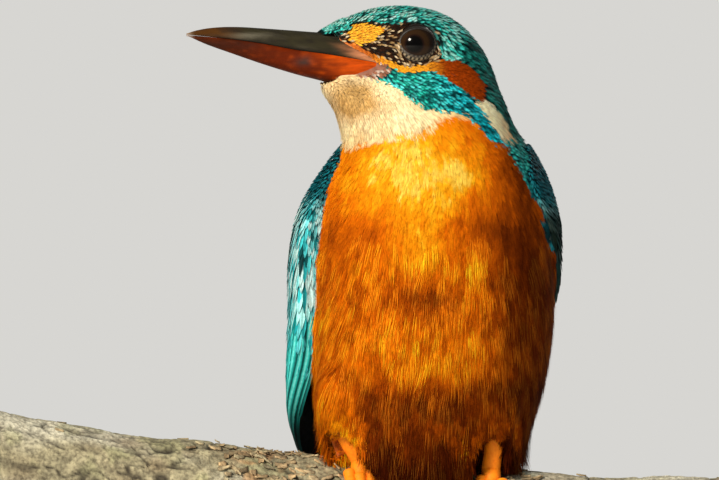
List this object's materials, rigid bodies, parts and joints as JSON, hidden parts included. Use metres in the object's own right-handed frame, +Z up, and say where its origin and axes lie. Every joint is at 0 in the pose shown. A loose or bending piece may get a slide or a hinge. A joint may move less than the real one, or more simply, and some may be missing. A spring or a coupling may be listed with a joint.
{
  "type": "kingfisher",
  "caption": "Life-size common kingfisher perched upright on a cut length of branch, head turned to its right, held by a flat base and rods.",
  "frame": {"origin": "middle of the stand base's underside", "axes": "+Z up, the bird's breast faces -Y, the bird's left is +X; the branch runs along X"},
  "size_m": [0.1695, 0.088, 0.1782],
  "materials": {
    "plumage_teal": "barred glossy feathers",
    "plumage_azure": "glossy feathers",
    "plumage_orange": "soft loose feathers",
    "bill_black": "satin horn",
    "bill_red": "satin horn",
    "eye": "wet gloss",
    "foot_skin": "scaled skin",
    "claw": "satin horn",
    "bark": "rough bark",
    "base_wood": "oiled",
    "rod_steel": "brushed"
  },
  "bodies": {
    "root": {"bill_lower": "bill_red", "bill_upper": "bill_black", "claw_left_hind": "claw", "claw_left_inner": "claw", "claw_left_middle": "claw", "claw_left_outer": "claw", "claw_right_hind": "claw", "claw_right_inner": "claw", "claw_right_middle": "claw", "claw_right_outer": "claw", "eye_left": "eye", "eye_right": "eye", "flight_feathers_left": "plumage_azure", "flight_feathers_right": "plumage_azure", "head": "plumage_teal", "neck": "plumage_orange", "perch": "bark", "stand_base": "base_wood", "stand_rod_left": "rod_steel", "stand_rod_right": "rod_steel", "tail": "plumage_azure", "tarsus_left": "foot_skin", "tarsus_right": "foot_skin", "thigh_left": "plumage_orange", "thigh_right": "plumage_orange", "toe_left_hind": "foot_skin", "toe_left_inner": "foot_skin", "toe_left_middle": "foot_skin", "toe_left_outer": "foot_skin", "toe_right_hind": "foot_skin", "toe_right_inner": "foot_skin", "toe_right_middle": "foot_skin", "toe_right_outer": "foot_skin", "trunk": "plumage_orange", "wing_left": "plumage_teal", "wing_right": "plumage_teal"}
  },
  "joints": []
}
